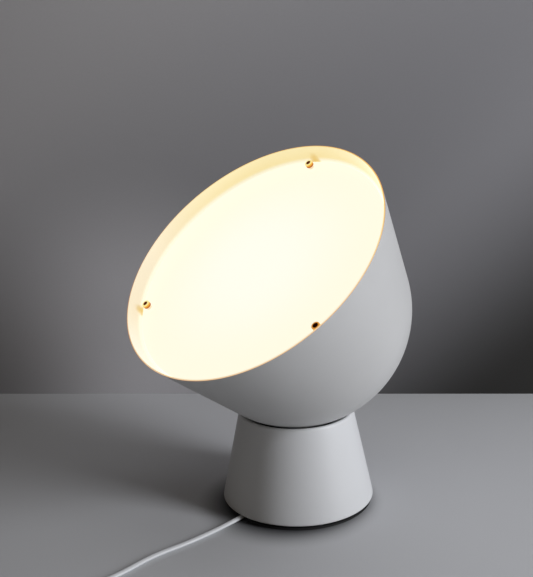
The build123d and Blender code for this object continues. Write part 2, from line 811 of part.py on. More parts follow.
def bulb_outline(inset):
    """The glass of the bulb, set in by the inset: a ball that narrows to a neck."""
    neck_z = bulb_seat() + bulb_tip_length + bulb_cap_length + bulb_collar_length
    radius = bulb_radius - inset
    ball_z = bulb_seat() + bulb_length - bulb_radius
    neck = bulb_cap_radius + bulb_collar_flare - inset
    side, front = math.radians(bulb_neck_angle), math.radians(bulb_front_angle)
    waist = (radius * math.cos(side), 0, ball_z - radius * math.sin(side))
    shoulder = (radius * math.cos(front), 0, ball_z + radius * math.sin(front))
    return turned(
        Line((0, 0, neck_z), (neck, 0, neck_z)),
        Spline((neck, 0, neck_z), waist, tangents=((0, 0, 1), (math.sin(side), 0, math.cos(side)))),
        ThreePointArc(waist, shoulder, (0, 0, ball_z + radius)),
        Line((0, 0, ball_z + radius), (0, 0, neck_z)),
    )


def make_lampholder():
    save("lampholder_strap", head_place * strap())
    save("lampholder_shell", head_place * holder_shell())
    save("lampholder_collar", head_place * holder_collar())
    save("lampholder_nipple", head_place * nipple())
    high = holder_back - strap_thickness
    save("lampholder_nut", head_place * hex_nut(
        nipple_nut_across_flats, high - nipple_nut_height, high, nipple_radius + fixed_gap))
    contact_low = bulb_seat() - contact_thickness
    insert_radius = holder_radius - holder_wall - fixed_gap
    save("lampholder_contact_block", head_place * disc(insert_radius, contact_block_low(), contact_low))
    tongue = block(-contact_width / 2, contact_width / 2, -contact_length / 2, contact_length / 2,
                   contact_low, bulb_seat())
    save("lampholder_centre_contact", head_place * tongue)
    sleeve_top = holder_front - screw_shell_from_front
    sleeve = disc(screw_shell_radius, contact_low, sleeve_top, screw_shell_radius - screw_shell_wall)
    sleeve += disc(insert_radius, sleeve_top - screw_shell_flange, sleeve_top, screw_shell_radius)
    save("lampholder_screw_shell", head_place * sleeve)


def make_bulb():
    cap_low = bulb_seat() + bulb_tip_length
    cap_high = cap_low + bulb_cap_length
    collar_high = cap_high + bulb_collar_length
    tip = Cone(bulb_point_radius, bulb_tip_radius, bulb_tip_length, align=UP)
    collar = Cone(bulb_cap_radius, bulb_cap_radius + bulb_collar_flare, bulb_collar_length, align=UP)
    save("bulb_tip", head_place * Pos(0, 0, bulb_seat()) * tip)
    save("bulb_cap", head_place * disc(bulb_cap_radius, cap_low, cap_high))
    save("bulb_collar", head_place * Pos(0, 0, cap_high) * collar)
    save("bulb_globe", head_place * (bulb_outline(0) - (bulb_outline(bulb_glass) & disc(
        bulb_radius, collar_high + bulb_glass, collar_high + bulb_length))))


def head_lead():
    """Slack loop from the top of the stem to the side of the lampholder, which gives as the shade tilts."""
    start = stem_top + end_bush_height
    crest = start + head_lead_rise + head_lead_crest
    end = Vector((head_place * Pos(holder_radius - holder_wall, 0, lead_entry_height())).position)
    beside = head_lead_rise + 2 * head_lead_swing
    return [
        (0, 0, start),
        (0, 0, start + head_lead_rise),
        (head_lead_rise, head_lead_back, crest - head_lead_back),
        (head_lead_rise + head_lead_swing, head_lead_rise, crest),
        (beside, end.Y - head_lead_swing - head_lead_back, end.Z + head_lead_back),
        (beside + head_lead_back, end.Y - 2 * head_lead_back, end.Z),
        (end.X + 2 * head_lead_rise, end.Y, end.Z),
        (end.X, end.Y, end.Z),
    ]


# ---------------------------------------------------------------- cord on the table
def switch_place():
    return Pos(switch_start[0], switch_start[1], 0) * Rot(0, 0, switch_heading)


def switch_end():
    heading = math.radians(switch_heading)
    return (switch_start[0] + switch_length * math.cos(heading),
            switch_start[1] + switch_length * math.sin(heading), switch_split)


def coil_tangent(heading):
    """Where the coil's outer turn, wound anticlockwise, runs in a direction: a point in plan."""
    angle = math.radians(heading - 90)
    radius = coil_turn_radius + (coil_columns - 1) / 2 * column_step
    return Vector(coil_centre[0] + radius * math.cos(angle), coil_centre[1] + radius * math.sin(angle))


def cord_coil():
    """The outer shape of the wound cord: a flat ring of turns."""
    body = disc(coil_outer, coil_low, coil_low + coil_height, coil_inner)
    body = fillet(body.edges().filter_by(GeomType.CIRCLE), cord_height / 2)
    return Pos(*coil_centre, 0) * body


def cord_tie():
    """Band round the bundle of turns."""
    near = math.sqrt(coil_inner ** 2 - (tie_width / 2) ** 2) - fixed_gap
    far = coil_outer + fixed_gap
    low, high = coil_low - fixed_gap, coil_low + coil_height + fixed_gap
    solid = block(near - tie_thickness, far + tie_thickness, -tie_width / 2, tie_width / 2,
                  low - tie_thickness, high + tie_thickness)
    solid = fillet(solid.edges().filter_by(Axis.Y), tie_round)
    solid -= block(near, far, -tie_width, tie_width, low, high)
    return Pos(*coil_centre, 0) * Rot(0, 0, tie_angle) * solid


def make_cord():
    save("power_cord", flat_cord(cord_route))
    heading = math.radians(tail_heading)
    join = coil_tangent(tail_heading)
    ahead = Vector(math.cos(heading), math.sin(heading))
    before = join - ahead * tail_run
    save("power_cord_tail", flat_cord([
        switch_end(),
        (before.X, before.Y, tail_rise),
        (join.X, join.Y, coil_low + cord_height / 2 + coil_air / 2),
    ]))
    save("power_cord_coil", cord_coil())
    save("cord_tie", cord_tie())
    join = coil_tangent(plug_heading)
    end = plug_start()
    save("power_cord_plug_end", flat_cord([
        (join.X, join.Y, coil_low + coil_height - cord_height / 2 - coil_air / 2),
        (end.X, end.Y, plug_height / 2),
    ]))


# ---------------------------------------------------------------- switch on the cord
def switch_outline(inset):
    """Plan of the switch, set in by the inset, with its end at the origin and its length along X."""
    outline = RectangleRounded(switch_length - 2 * inset, switch_width - 2 * inset, switch_corner - inset)
    return Pos(switch_length / 2, 0, 0) * outline


def switch_half(low, high, floor_at):
    """One half of the case: a shallow tray with its floor below or above."""
    tray = Pos(0, 0, low) * extrude(switch_outline(0), high - low)
    edge = tray.edges().group_by(Axis.Z)[0 if floor_at == "low" else -1]
    tray = fillet(edge, switch_round)
    start = low + switch_wall if floor_at == "low" else low
    hollow = Pos(0, 0, start) * extrude(switch_outline(switch_wall), high - low - switch_wall)
    cord_room = block(-1, switch_length + 1, -cord_width / 2 - fixed_gap, cord_width / 2 + fixed_gap,
                      switch_split - cord_height / 2 - fixed_gap, switch_split + cord_height / 2 + fixed_gap)
    return tray - hollow - cord_room


def rocker():
    """Rocker as it stands when on: one end down, turned about its pin."""
    half = rocker_length / 2
    outline = make_face(Polyline(
        (-half, 0, rocker_crown), (0, 0, rocker_crown + half * math.tan(math.radians(rocker_lean))),
        (half, 0, rocker_crown), (half, 0, 0), (rocker_skirt, 0, -rocker_skirt),
        (-rocker_skirt, 0, -rocker_skirt), (-half, 0, 0), (-half, 0, rocker_crown)))
    body = extrude(outline, rocker_width / 2, both=True)
    bore = Rot(90, 0, 0) * Cylinder(rocker_pin_radius + running_gap, rocker_width + 2)
    return Pos(switch_length / 2, 0, rocker_pivot_height) * Rot(0, rocker_lean, 0) * (body - bore)


def make_switch():
    place = switch_place()
    middle = switch_length / 2
    lower = switch_half(0, switch_split, "low")
    upper = switch_half(switch_split, switch_height, "high")
    lean_reach = rocker_crown * math.sin(math.radians(rocker_lean))
    reach = rocker_length / 2 + lean_reach + turning_gap + rocker_end_gap
    side = rocker_width / 2 + turning_gap
    through = 2 * switch_wall
    upper -= block(middle - reach, middle + reach, -side, side,
                   switch_height - through, switch_height + through)
    pin_reach = switch_width / 2 - switch_wall
    cheek = side + rocker_post_from_window
    half = rocker_post_width / 2
    for y0, y1 in ((-pin_reach, -cheek), (cheek, pin_reach)):
        upper += block(middle - half, middle + half, y0, y1, switch_split, switch_height - switch_wall)
    across = Pos(middle, 0, rocker_pivot_height) * Rot(90, 0, 0)
    pin = across * Cylinder(rocker_pin_radius, 2 * pin_reach)
    pin_hole = across * Cylinder(rocker_pin_radius + fixed_gap / 2, 2 * pin_reach)
    save("switch_case_lower", place * lower)
    save("switch_case_upper", place * (upper - pin_hole))
    save("switch_rocker_pin", place * pin)
    save("switch_rocker", place * rocker())
    length, width, thickness = switch_contact
    contacts = [block(x, x + length, y - width / 2, y + width / 2, switch_wall, switch_wall + thickness)
                for x in (switch_contact_inset, switch_length - switch_contact_inset - length)
                for y in (-switch_contact_offset, switch_contact_offset)]
    save("switch_contacts", place * Compound(contacts))


# ---------------------------------------------------------------- plug
def plug_start():
    """Where the cord enters the plug's boot, in plan."""
    heading = math.radians(plug_heading)
    return coil_tangent(plug_heading) + Vector(math.cos(heading), math.sin(heading)) * plug_lead


def plug_boot():
    """Soft boot that keeps the cord from bending sharply at the plug."""
    thin = Plane(origin=(0, 0, 0), x_dir=(0, 1, 0), z_dir=(1, 0, 0))
    thick = Plane(origin=(plug_boot_length, 0, 0), x_dir=(0, 1, 0), z_dir=(1, 0, 0))
    return loft([
        thin * SlotOverall(cord_width + 2 * plug_boot_wall, cord_height + 2 * plug_boot_wall),
        thick * SlotOverall(2 * plug_boot_radius + plug_boot_spread, 2 * plug_boot_radius),
    ])


def plug_body():
    """Moulded body, narrow at the boot and waisted for the fingers."""
    start, end = plug_boot_length, plug_boot_length + plug_length
    side = [(start, plug_neck_width / 2), (start + plug_shoulder, plug_front_width / 2),
            (end - plug_flare, plug_width / 2), (end, plug_width / 2)]
    corners = [(x, -y) for x, y in side] + side[::-1]
    body = Pos(0, 0, -plug_height / 2) * extrude(make_face(Polyline(*corners, corners[0])), plug_height)
    body = fillet(body.edges().filter_by(Axis.Z), plug_corner)
    levels = body.edges().group_by(Axis.Z)
    return fillet(levels[-1] + levels[0], plug_edge_round)


def plug_pins():
    pins = []
    for y in (-plug_pin_spacing / 2, plug_pin_spacing / 2):
        place = Pos(plug_boot_length + plug_length, y, 0) * Rot(0, 90, 0)
        pin = place * Cylinder(plug_pin_radius, plug_pin_length, align=UP)
        pins.append(fillet(pin.edges().filter_by(GeomType.CIRCLE).sort_by(Axis.X)[-1], plug_pin_round))
    return Compound(pins)


def make_plug():
    start = plug_start()
    place = Pos(start.X, start.Y, plug_height / 2) * Rot(0, 0, plug_heading)
    save("plug_boot", place * plug_boot())
    save("plug_body", place * plug_body())
    save("plug_pins", place * plug_pins())


os.makedirs("parts", exist_ok=True)
make_base()
make_swivel()
make_shade()
make_lampholder()
make_bulb()
save("head_lead", flat_cord(head_lead()))
make_cord()
make_switch()
make_plug()
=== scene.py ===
# %% [markdown]
# # A table lamp with a bell-shaped shade
# The lamp is a white steel bell that rests like a ball in the dished top of a conical base.
# An opal disc is set back inside the rim, held by three small posts, and it is lit. The cells below
# load the engineering model, replace the pieces whose finish or outline can be better, and give
# every other piece the material of the real one.

# %% The frame
import json
import math
import bmesh
import bpy
from mathutils import Matrix, Vector


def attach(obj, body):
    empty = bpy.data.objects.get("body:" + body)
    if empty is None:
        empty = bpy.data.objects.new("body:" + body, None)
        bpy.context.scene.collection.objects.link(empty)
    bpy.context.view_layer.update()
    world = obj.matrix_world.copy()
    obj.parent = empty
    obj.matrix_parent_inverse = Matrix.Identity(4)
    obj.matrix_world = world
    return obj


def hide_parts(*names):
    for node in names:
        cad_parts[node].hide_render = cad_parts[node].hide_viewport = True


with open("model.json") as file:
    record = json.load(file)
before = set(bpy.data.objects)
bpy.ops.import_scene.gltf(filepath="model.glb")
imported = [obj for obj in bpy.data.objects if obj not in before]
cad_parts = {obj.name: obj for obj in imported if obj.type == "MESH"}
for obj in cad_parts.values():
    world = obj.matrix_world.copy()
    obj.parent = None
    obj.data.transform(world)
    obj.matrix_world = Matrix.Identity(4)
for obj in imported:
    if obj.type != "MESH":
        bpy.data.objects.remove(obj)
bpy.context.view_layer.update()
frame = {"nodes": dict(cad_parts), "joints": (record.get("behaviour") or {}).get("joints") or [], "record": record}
nodes = frame["nodes"]

# %% [markdown]
# ## The camera
# A lens is set by its focal length and the side of the picture that the sensor's size belongs to.
# The sides of a camera are the columns of its matrix: right, up, and backwards.

# %% Camera
camera_place = Vector((0.50771, -0.55068, 0.36907))
camera_forward = Vector((-0.6865, 0.69674, -0.20801)).normalized()
camera_up = Vector((-0.123, 0.17068, 0.97762))
camera_lens = 50.92

camera_right = camera_forward.cross(camera_up).normalized()
camera_up = camera_right.cross(camera_forward).normalized()
camera = bpy.data.objects.new("camera", bpy.data.cameras.new("camera"))
camera.data.lens = camera_lens
camera.data.sensor_width = 36
camera.data.clip_start = 0.01
turn = Matrix((camera_right, camera_up, -camera_forward)).transposed()
camera.matrix_world = Matrix.Translation(camera_place) @ turn.to_4x4()
bpy.context.scene.collection.objects.link(camera)
bpy.context.scene.camera = camera
bpy.context.scene.view_settings.view_transform = "Standard"
print("camera", [round(v, 3) for v in camera.location])

# %% [markdown]
# ## Sizes
# The sizes that several pieces share, in millimetres, and one function that turns them into metres.
# The shade leans back, so its pieces are made upright about its own axis and then put in place
# with one matrix.


# %% Shared sizes
def mm(value):
    """Millimetres to metres."""
    return value / 1000


pivot = Vector(next(j for j in frame["joints"] if j["name"] == "tilt")["pos_m"])
head_tilt = math.radians(43.0)
head_place = Matrix.Translation(pivot) @ Matrix.Rotation(head_tilt, 4, "X")
rim_radius = 130.6
rim_from_pivot = 84.0
wall_slope = math.radians(12.1)
sheet_metal = 1.2
dome_radius = (rim_radius - rim_from_pivot * math.tan(wall_slope)) * math.cos(wall_slope)
diffuser_front = 69.0
round_steps = 256
print("dome radius", round(dome_radius, 2), "mm, shade wall", sheet_metal, "mm")

# %% [markdown]
# ## Helpers for meshes
# Most of this lamp is turned or spun on a lathe, so one helper spins an outline about Z. Its corners
# are rounded before it is spun, as a bevel of the outline's points, which costs less than a bevel
# of the finished piece and gives exact radii.


# %% Mesh helpers
def finish_piece(name, mesh_edit, body, material_slots, place=None):
    """A bmesh becomes a piece that rides on a body, with smooth faces and its materials."""
    bmesh.ops.remove_doubles(mesh_edit, verts=mesh_edit.verts, dist=1e-7)
    bmesh.ops.recalc_face_normals(mesh_edit, faces=mesh_edit.faces)
    if place is not None:
        bmesh.ops.transform(mesh_edit, matrix=place, verts=mesh_edit.verts)
    mesh = bpy.data.meshes.new(name)
    mesh_edit.to_mesh(mesh)
    mesh_edit.free()
    mesh.shade_smooth()
    for material in material_slots:
        mesh.materials.append(material)
    piece = bpy.data.objects.new(name, mesh)
    bpy.context.scene.collection.objects.link(piece)
    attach(piece, body)
    print(name, len(mesh.polygons), "faces")
    return piece


def outline_chain(mesh_edit, points, closed):
    """A chain of edges through (radius, height) points in millimetres."""
    corners = [mesh_edit.verts.new((mm(r), 0, mm(z))) for r, z in points]
    pairs = list(zip(corners, corners[1:]))
    if closed:
        pairs.append((corners[-1], corners[0]))
    for a, b in pairs:
        mesh_edit.edges.new((a, b))
    return corners


def round_corner(mesh_edit, corner, radius, steps=4):
    """Rounds one corner of an outline to a radius in millimetres."""
    sides = [(edge.other_vert(corner).co - corner.co) for edge in corner.link_edges]
    turn_half = (math.pi - sides[0].angle(sides[1])) / 2
    bmesh.ops.bevel(
        mesh_edit, geom=[corner], offset=mm(radius) * math.tan(turn_half), offset_type="OFFSET",
        segments=steps, profile=0.5, affect="VERTICES", material=-1)


def spin_outline(mesh_edit, steps=round_steps):
    """Spins everything in the bmesh about Z, once round."""
    bmesh.ops.spin(
        mesh_edit, geom=mesh_edit.verts[:] + mesh_edit.edges[:], cent=(0, 0, 0), axis=(0, 0, 1),
        angle=2 * math.pi, steps=steps, use_merge=True)


# %% [markdown]
# ## Helpers for materials
# Colours are chosen as hex values on a screen, and the renderer works in linear light, so one
# function turns one into the other. Another adds a node with its settings, and sets or links its
# inputs. Two settings come back in nearly every material: a Map Range that eases in and out, and a
# Mix that works on colours.


# %% Material helpers
def colour(hex_value, alpha=1.0):
    """An sRGB hex value as a linear colour."""
    parts = [int(hex_value[i:i + 2], 16) / 255 for i in (0, 2, 4)]
    linear = [p / 12.92 if p <= 0.04045 else ((p + 0.055) / 1.055) ** 2.4 for p in parts]
    return (*linear, alpha)


def add(tree, kind, inputs=(), **settings):
    """Adds a node with its settings, and sets or links its inputs.

    The inputs are a dictionary by name, or a list in the order of those in use. Each takes a
    number, a hex colour, a socket, or a node, whose first output in use is meant.
    """
    made = tree.nodes.new(kind)
    for key, value in settings.items():
        setattr(made, key, value)
    if isinstance(inputs, dict):
        pairs = [(made.inputs[name], value) for name, value in inputs.items()]
    else:
        pairs = zip([socket for socket in made.inputs if socket.enabled], inputs)
    for socket, value in pairs:
        if isinstance(value, bpy.types.Node):
            value = next(output for output in value.outputs if output.enabled)
        if isinstance(value, bpy.types.NodeSocket):
            tree.links.new(value, socket)
        else:
            socket.default_value = colour(value) if isinstance(value, str) else value
    return made


def new_material(name):
    """An empty material and its tree."""
    material = bpy.data.materials.new(name)
    material.use_nodes = True
    material.node_tree.nodes.clear()
    return material, material.node_tree


smooth = {"interpolation_type": "SMOOTHSTEP"}
in_colour = {"data_type": "RGBA"}
print("white in linear light", [round(part, 3) for part in colour("CDCDCC")])

# %% [markdown]
# ## White powder coat
# Powder coat is sprayed on as dust and baked, so it has a fine orange peel and a soft satin
# shine. The peel's waves are about a millimetre across and a few microns deep. A second, larger
# and very faint noise keeps the white from being one flat number.

# %% White powder coat
cloud_size = 45.0
peel_size = 1.1


def powder_coat(name, pale, deep, glow=None):
    """Powder coat between two near colours; a function may give it light of its own."""
    material, tree = new_material(name)
    here = add(tree, "ShaderNodeTexCoord").outputs["Object"]
    cloud = add(tree, "ShaderNodeTexNoise", {"Vector": here, "Scale": 1 / mm(cloud_size)})
    peel = add(tree, "ShaderNodeTexNoise", {"Vector": here, "Scale": 1 / mm(peel_size), "Detail": 3})
    inputs = {
        "Base Color": add(tree, "ShaderNodeMix", [cloud, pale, deep], **in_colour),
        "Roughness": 0.42,
        "Normal": add(tree, "ShaderNodeBump", {"Height": peel, "Strength": 0.35, "Distance": mm(0.02)}),
    }
    if glow is not None:
        inputs.update({"Emission Color": glow(tree), "Emission Strength": 1.0})
    shader = add(tree, "ShaderNodeBsdfPrincipled", inputs)
    add(tree, "ShaderNodeOutputMaterial", {"Surface": shader})
    return material


shade_coat = powder_coat("white_powder_coat_shade", "CDCDCC", "C9C9C8")
base_coat = powder_coat("white_powder_coat_base", "DEDFE0", "D9DADB")
print("coats", shade_coat.name, base_coat.name)

# %% [markdown]
# ## Places on the shade
# The light inside the shade changes with the place: across it, up its open face, along its axis and
# around each post. So the coordinates are turned once, until Z runs along the shade's axis, and the
# distances from that axis and from the nearest post follow from them. The posts stand a third of a
# turn apart, so one sine that has a zero at each of them measures the way round to the nearest.

# %% Places on the shade
post_turn = math.radians(93.7)
posts = 3
post_circle = 117.0


def shade_place(tree):
    """Coordinates along the shade's own axis: X across, Y up the open face, Z towards the rim."""
    here = add(tree, "ShaderNodeTexCoord").outputs["Object"]
    return add(
        tree, "ShaderNodeMapping", {"Vector": here, "Location": pivot, "Rotation": (head_tilt, 0, 0)},
        vector_type="TEXTURE")


def shade_parts(tree):
    """The X, Y and Z of those coordinates."""
    return add(tree, "ShaderNodeSeparateXYZ", [shade_place(tree)]).outputs


def hypotenuse(tree, first, second):
    """The distance that two distances at right angles make."""
    both = add(tree, "ShaderNodeCombineXYZ", [first, second])
    return add(tree, "ShaderNodeVectorMath", [both], operation="LENGTH")


def from_shade_axis(tree):
    """Distance in metres from the shade's own axis."""
    across, up, _ = shade_parts(tree)
    return hypotenuse(tree, across, up)


def from_post_axis(tree):
    """Distance in metres from the axis of the nearest post."""
    across, up, _ = shade_parts(tree)
    angle = add(tree, "ShaderNodeMath", [up, across], operation="ARCTAN2")
    turned = add(tree, "ShaderNodeMath", [angle, post_turn], operation="SUBTRACT")
    phase = add(tree, "ShaderNodeMath", [turned, posts / 2], operation="MULTIPLY")
    sine = add(tree, "ShaderNodeMath", [phase], operation="SINE")
    along = add(tree, "ShaderNodeMath", [sine, mm(post_circle) * 2 / posts], operation="MULTIPLY")
    radius = from_shade_axis(tree)
    outward = add(tree, "ShaderNodeMath", [radius, mm(post_circle)], operation="SUBTRACT")
    return hypotenuse(tree, along, outward)


print("posts", posts, "on a circle of", post_circle, "mm")

# %% [markdown]
# ## The lit inside of the rim
# The band of steel in front of the disc is white too, but the disc floods it with warm light. A
# renderer shows only part of that, because the disc is drawn no brighter than the picture can
# hold, so the band carries some of its light itself, as painted light in its colour and glow. It is
# yellow at the top, cream at the sides and nearly white at the bottom. Behind the disc the inner
# wall is painted with the bulb's light. Beside each post a painted shadow makes the band darker.
# The rim is painted as lit from inside too, with a warm base colour, and only its outermost edge
# looks orange.


# %% Lit band
def band_glow(tree):
    """The painted light of the wall in front of the disc and behind it, and the painted shadow of each post, by
    its place on the shade.
    """
    across, up, out = shade_parts(tree)
    top = add(tree, "ShaderNodeMapRange", [up, mm(-40), mm(110)], **smooth)
    bottom = add(tree, "ShaderNodeMapRange", [up, mm(-125), mm(-72), 1, 0], **smooth)
    side = add(tree, "ShaderNodeMapRange", [across, mm(-120), mm(40)], **smooth)
    right = add(tree, "ShaderNodeMapRange", [across, mm(10), mm(100)], **smooth)
    deep = add(
        tree, "ShaderNodeMapRange", [out, mm(diffuser_front), mm(rim_from_pivot), 1, 0], **smooth)
    beside_disc = add(
        tree, "ShaderNodeMapRange", [out, mm(diffuser_front - 0.4), mm(diffuser_front + 4.2)], **smooth)
    beyond_post_shadow = add(
        tree, "ShaderNodeMapRange", [out, mm(diffuser_front + 1), mm(diffuser_front + 10)], **smooth)
    from_post = add(
        tree, "ShaderNodeMapRange", [from_post_axis(tree), mm(9.0), mm(11.6)], **smooth)
    clear_of_post_shadow = add(tree, "ShaderNodeMath", [from_post, beyond_post_shadow], operation="MAXIMUM")
    cream = add(tree, "ShaderNodeMix", [side, "C5B79B", "DCDAB8"], **in_colour)
    pale = add(tree, "ShaderNodeMix", [bottom, cream, "C4C3B6"], **in_colour)
    near_rim = add(tree, "ShaderNodeMix", [right, "DCCC96", "E6DAB6"], **in_colour)
    near_disc = add(tree, "ShaderNodeMix", [right, "D6C284", "E0D2A4"], **in_colour)
    yellow = add(tree, "ShaderNodeMix", [deep, near_rim, near_disc], **in_colour)
    lit = add(tree, "ShaderNodeMix", [top, pale, yellow], **in_colour)
    # Behind the disc, DCD8C2 paints the bulb's light on the inner wall.
    band = add(tree, "ShaderNodeMix", [beside_disc, "DCD8C2", lit], **in_colour)
    # BE9A20 is the painted shadow of each post on the band.
    return add(tree, "ShaderNodeMix", [clear_of_post_shadow, "BE9A20", band], **in_colour)


# The inside's darker, warmer base colour is part of the painted light; the real paint is the same white as
# outside.
inside_coat = powder_coat("white_powder_coat_lit_band", "B9B2A4", "B5AEA0", band_glow)
print("lit", inside_coat.name)


# %% Lit rim
def rim_glow(tree):
    """The rim's painted glow from inside, with an orange outermost edge that is a little wider at the upper left.
    """
    across, up, out = shade_parts(tree)
    top = add(tree, "ShaderNodeMapRange", [up, mm(-40), mm(110)], **smooth)
    slant = add(tree, "ShaderNodeMath", [across, up], operation="SUBTRACT")
    wider = add(tree, "ShaderNodeMapRange", [slant, mm(0), mm(120), mm(0.3), 0], **smooth)
    edge = add(tree, "ShaderNodeMath", [from_shade_axis(tree), wider], operation="ADD")
    outer = add(
        tree, "ShaderNodeMapRange", [edge, mm(rim_radius - 0.35), mm(rim_radius - 0.05)], **smooth)
    front = add(
        tree, "ShaderNodeMapRange", [out, mm(rim_from_pivot - 1.4), mm(rim_from_pivot - 0.2)], **smooth)
    warm = add(tree, "ShaderNodeMix", [top, "E4C8A0", "ECC864"], **in_colour)
    # B8743C paints an orange glow on the outermost edge.
    lit = add(tree, "ShaderNodeMix", [outer, warm, "B8743C"], **in_colour)
    return add(tree, "ShaderNodeMix", [front, "000000", lit], **in_colour)


# The rim's tan base colour is painted light from the disc; the real rim is the same white paint.
lit_rim_coat = powder_coat("white_powder_coat_lit_rim", "C0A07C", "BC9C78", rim_glow)
print("lit", lit_rim_coat.name)

# %% [markdown]
# ## The shade
# The real bell is drawn from one sheet, so its wall has one thickness everywhere. Its outer side is
# a ball's arc that runs into a straight cone without a corner. The arc comes from spinning one point,
# the cone from extruding the arc's last point, and the bell from spinning the line. The slot that lets
# the stem pass is cut along planes while the wall is still a single skin, and a Solidify modifier
# then gives the wall its thickness, and its inner side and its edge their own materials.

# %% Shade skin
arc_steps = 72
cone_shares = (0.12, 0.13, 0.15, 0.15, 0.15, 0.15, 0.14, 0.01)


def bell_skin():
    """The outer side of the shade about Z, without its slot."""
    skin = bmesh.new()
    start = skin.verts.new((0, 0, -mm(dome_radius)))
    made = bmesh.ops.spin(
        skin, geom=[start], cent=(0, 0, 0), axis=(0, -1, 0), angle=math.pi / 2 - wall_slope,
        steps=arc_steps)
    last = next(item for item in made["geom_last"] if isinstance(item, bmesh.types.BMVert))
    reach = Vector((mm(rim_radius), 0, mm(rim_from_pivot))) - last.co
    for share in cone_shares:
        grown = bmesh.ops.extrude_vert_indiv(skin, verts=[last])
        last = grown["verts"][0]
        bmesh.ops.translate(skin, verts=[last], vec=reach * share)
    spin_outline(skin)
    bmesh.ops.remove_doubles(skin, verts=skin.verts, dist=1e-6)
    return skin


skin = bell_skin()
print("shade skin", len(skin.faces), "faces")

# %% Shade slot
tilts_up = 13.0
tilts_down = 12.0
slot_spare = 3.0
slot_half_width = 5.4
slot_side = 12.0
slot_first = head_tilt - math.radians(tilts_up + slot_spare)
slot_last = head_tilt + math.radians(tilts_down + slot_spare)


def cut_strip(skin, reach, place, normal):
    """Cuts the lower faces within a reach of the middle along a plane."""
    near = [face for face in skin.faces
            if face.calc_center_median().z < 0 and abs(face.calc_center_median().x) < reach]
    touched = set(near) | {e for f in near for e in f.edges} | {v for f in near for v in f.verts}
    bmesh.ops.bisect_plane(skin, geom=list(touched), dist=1e-7, plane_co=place, plane_no=normal)


def cut_slot(skin):
    """Opens the slot in the bottom of the dome, on the side that faces down."""
    half = mm(slot_half_width)
    for side in (-1, 1):
        cut_strip(skin, mm(slot_side), (side * half, 0, 0), (1, 0, 0))
    for angle in (slot_first, slot_last):
        cut_strip(skin, half, (0, 0, 0), Vector((0, math.cos(angle), -math.sin(angle))))
    open_faces = []
    for face in skin.faces:
        middle = face.calc_center_median()
        angle = math.atan2(-middle.y, -middle.z)
        if middle.z < 0 and abs(middle.x) < half and slot_first < angle < slot_last:
            open_faces.append(face)
    bmesh.ops.delete(skin, geom=open_faces, context="FACES")
    return len(open_faces)


print("slot faces taken out", cut_slot(skin))

# %% Shade wall
edge_round = 0.35
shade = finish_piece("shade_bell", skin, "head", [shade_coat, inside_coat, lit_rim_coat], head_place)
wall = shade.modifiers.new("wall", "SOLIDIFY")
wall.thickness = mm(sheet_metal)
wall.offset = -1
wall.use_even_offset = True
wall.material_offset = 1
wall.material_offset_rim = 2
edge = shade.modifiers.new("rolled_edge", "BEVEL")
edge.width = mm(edge_round)
edge.segments = 3
edge.limit_method = "ANGLE"
edge.angle_limit = math.radians(60)
shade.modifiers.new("weighted_normals", "WEIGHTED_NORMAL").keep_sharp = True
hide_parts("shade_shell")

# %% [markdown]
# ## The base
# The base is spun steel too: a cone whose upper edge rolls inwards into a dish, and whose
# lower edge rolls inwards over the foot. Its outline is one closed chain. The dish is an arc about
# the middle of the ball.

# %% Base sizes
base_gap = 4.5
base_foot = 73.5
base_top = 55.0
base_wall = 1.5
lip_gap = 1.5
lip_bore = 44.0
flange_bore = 63.4
ball_height = pivot.z * 1000
dish_radius = dome_radius + lip_gap


def dish_height(radius, inset=0.0):
    """Height of the dish at a radius, in millimetres."""
    return ball_height - math.sqrt((dish_radius + inset) ** 2 - radius ** 2)


base_height = dish_height(base_top)
base_lean = (base_foot - base_top) / (base_height - base_gap)
side_inset = base_wall * math.sqrt(1 + base_lean ** 2)


def cone_radius(height):
    """Outer radius of the cone at a height, in millimetres."""
    return base_foot - (height - base_gap) * base_lean


def inner_corner():
    """Where the inner side of the cone meets the underside of the dish."""
    radius = base_top - side_inset
    for _ in range(20):  # each pass brings radius and height closer to each other
        height = dish_height(radius, base_wall)
        radius = cone_radius(height) - side_inset
    return radius, height


inner_radius, inner_height = inner_corner()
print("base", round(base_height, 2), "mm high, its inner corner at", round(inner_radius, 2), "mm")

# %% Base outline
lip_round = 2.5
foot_round = 1.2
dish_steps = 4
outline = [(base_foot, base_gap)]
side_heights = (base_gap + 3, base_gap + 44, base_height - 5)
outline += [(cone_radius(height), height) for height in side_heights]
outline.append((base_top, base_height))
dish = [base_top - (base_top - lip_bore) * i / dish_steps for i in range(1, dish_steps + 1)]
outline += [(r, dish_height(r)) for r in dish]
under = [lip_bore + (inner_radius - lip_bore) * i / dish_steps for i in range(dish_steps)]
outline += [(r, dish_height(r, base_wall)) for r in under]
outline.append((inner_radius, inner_height))
floor_height = base_gap + base_wall
outline.append((cone_radius(floor_height) - side_inset, floor_height))
outline += [(flange_bore, floor_height), (flange_bore, base_gap)]
turned = bmesh.new()
corners = outline_chain(turned, outline, closed=True)
foot_corner, lip_corner = corners[0], corners[len(side_heights) + 1]
round_corner(turned, lip_corner, lip_round, steps=6)
round_corner(turned, foot_corner, foot_round, steps=5)
print("base outline", len(turned.verts), "points")

# %% Base
spin_outline(turned)
base = finish_piece("base_cone", turned, "base", [base_coat])
base.modifiers.new("weighted_normals", "WEIGHTED_NORMAL").keep_sharp = True
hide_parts("base_shell")

# %% [markdown]
# ## A helper that paints
# A piece whose solid is good enough keeps its mesh from the engineering model and only gets the
# material of the real one.


# %% Painting
def paint(names, material):
    """Gives nodes of the engineering model one material."""
    for name in names:
        node = nodes[name]
        node.data.materials.clear()
        node.data.materials.append(material)


print("pieces of the engineering model", len(nodes))

# %% [markdown]
# ## The opal disc
# Opal acrylic scatters the bulb's light so well that the disc looks evenly lit, with a little more
# light in the middle and a warmer edge. It is drawn as a pale plastic that gives its own light.


